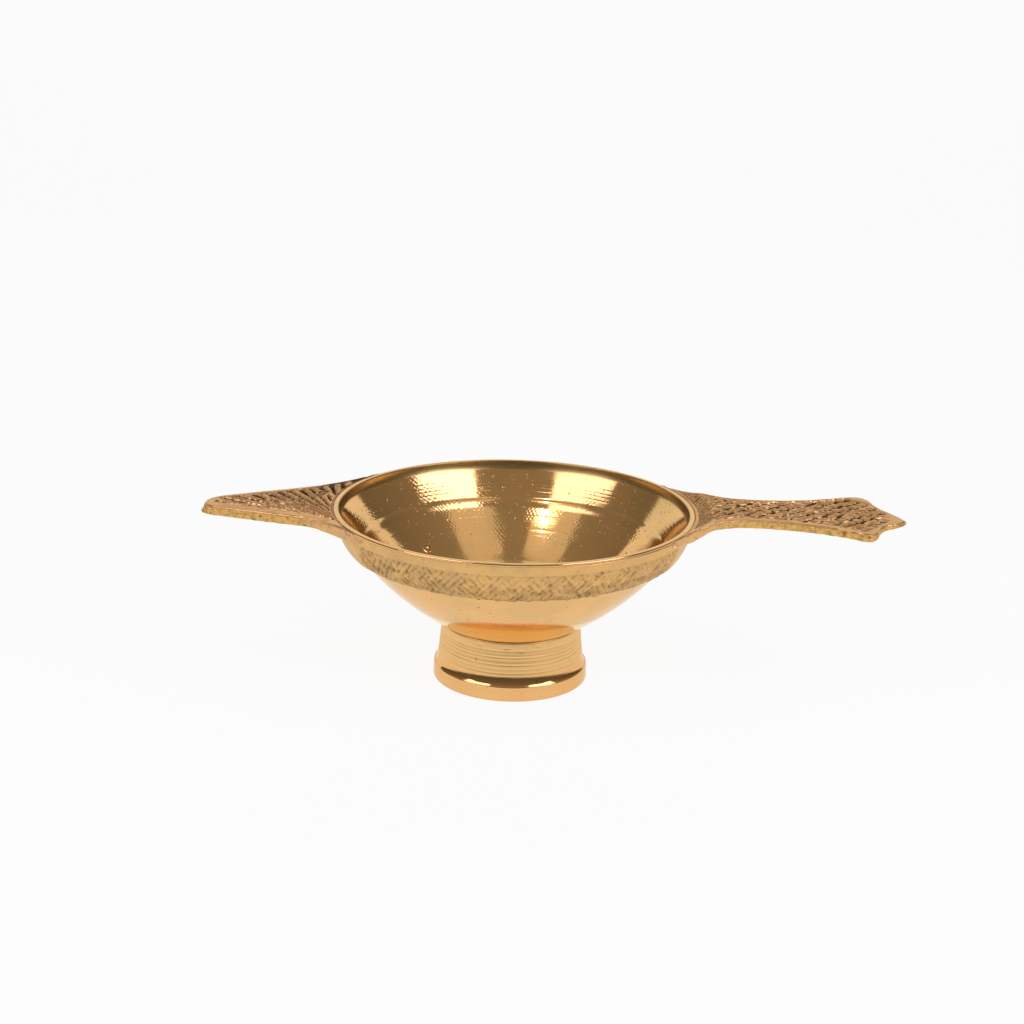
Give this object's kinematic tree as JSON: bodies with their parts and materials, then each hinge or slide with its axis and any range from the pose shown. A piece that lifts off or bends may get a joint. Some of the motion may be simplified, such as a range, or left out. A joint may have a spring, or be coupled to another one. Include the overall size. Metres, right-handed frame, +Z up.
{
  "type": "diya oil lamp",
  "caption": "Small hand-held brass oil lamp: an open conical bowl on a hollow ring foot, a cast band round its rim, a pointed leaf on one side and a flat scaled handle on the other.",
  "frame": {"origin": "on the base plane, in the middle of the lamp's length and width", "axes": "+Z up; +X along the length towards the tip of the handle, so the leaf points to -X; +Y across the lamp"},
  "size_m": [0.1484, 0.076, 0.0387],
  "materials": {
    "turned_brass": "turned and buffed, with fine lathe marks round the axis",
    "cast_brass": "as cast with chased ornament, brown patina left in the recesses and the high parts buffed",
    "filler_brass": "filed and buffed brazing filler"
  },
  "bodies": {
    "root": {"bowl": "turned_brass", "rim_band": "cast_brass", "wick_leaf": "cast_brass", "handle": "cast_brass", "foot": "turned_brass", "leaf_braze": "filler_brass", "handle_braze": "filler_brass", "foot_braze": "filler_brass"}
  },
  "joints": []
}
